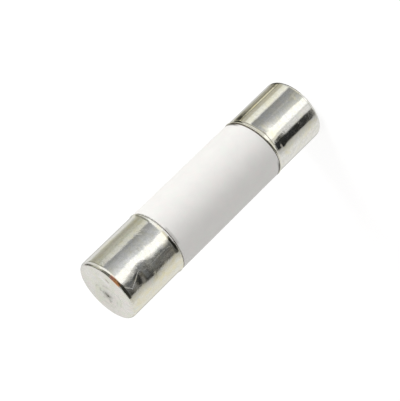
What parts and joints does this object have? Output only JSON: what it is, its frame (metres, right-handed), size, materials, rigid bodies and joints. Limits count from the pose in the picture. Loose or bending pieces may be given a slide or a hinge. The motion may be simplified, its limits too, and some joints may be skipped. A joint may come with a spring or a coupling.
{
  "type": "ceramic cartridge fuse",
  "caption": "Cylindrical ceramic fuse with plated metal end caps, a sand-filled bore and a wire between the caps that melts on overcurrent.",
  "frame": {"origin": "centre of the lower end face, on which the fuse stands", "axes": "+Z along the fuse's axis towards the upper cap, which is the near one in the picture"},
  "size_m": [0.0064, 0.0064, 0.0254],
  "materials": {
    "tube_ceramic": "matte",
    "plated_cap": "polished",
    "element_wire": "satin",
    "solder": "satin",
    "quartz_sand": "matte"
  },
  "bodies": {
    "root": {"ceramic_tube": "tube_ceramic", "top_end_cap": "plated_cap", "bottom_end_cap": "plated_cap", "fuse_wire": "element_wire", "top_solder": "solder", "bottom_solder": "solder", "sand_filling": "quartz_sand"}
  },
  "joints": []
}
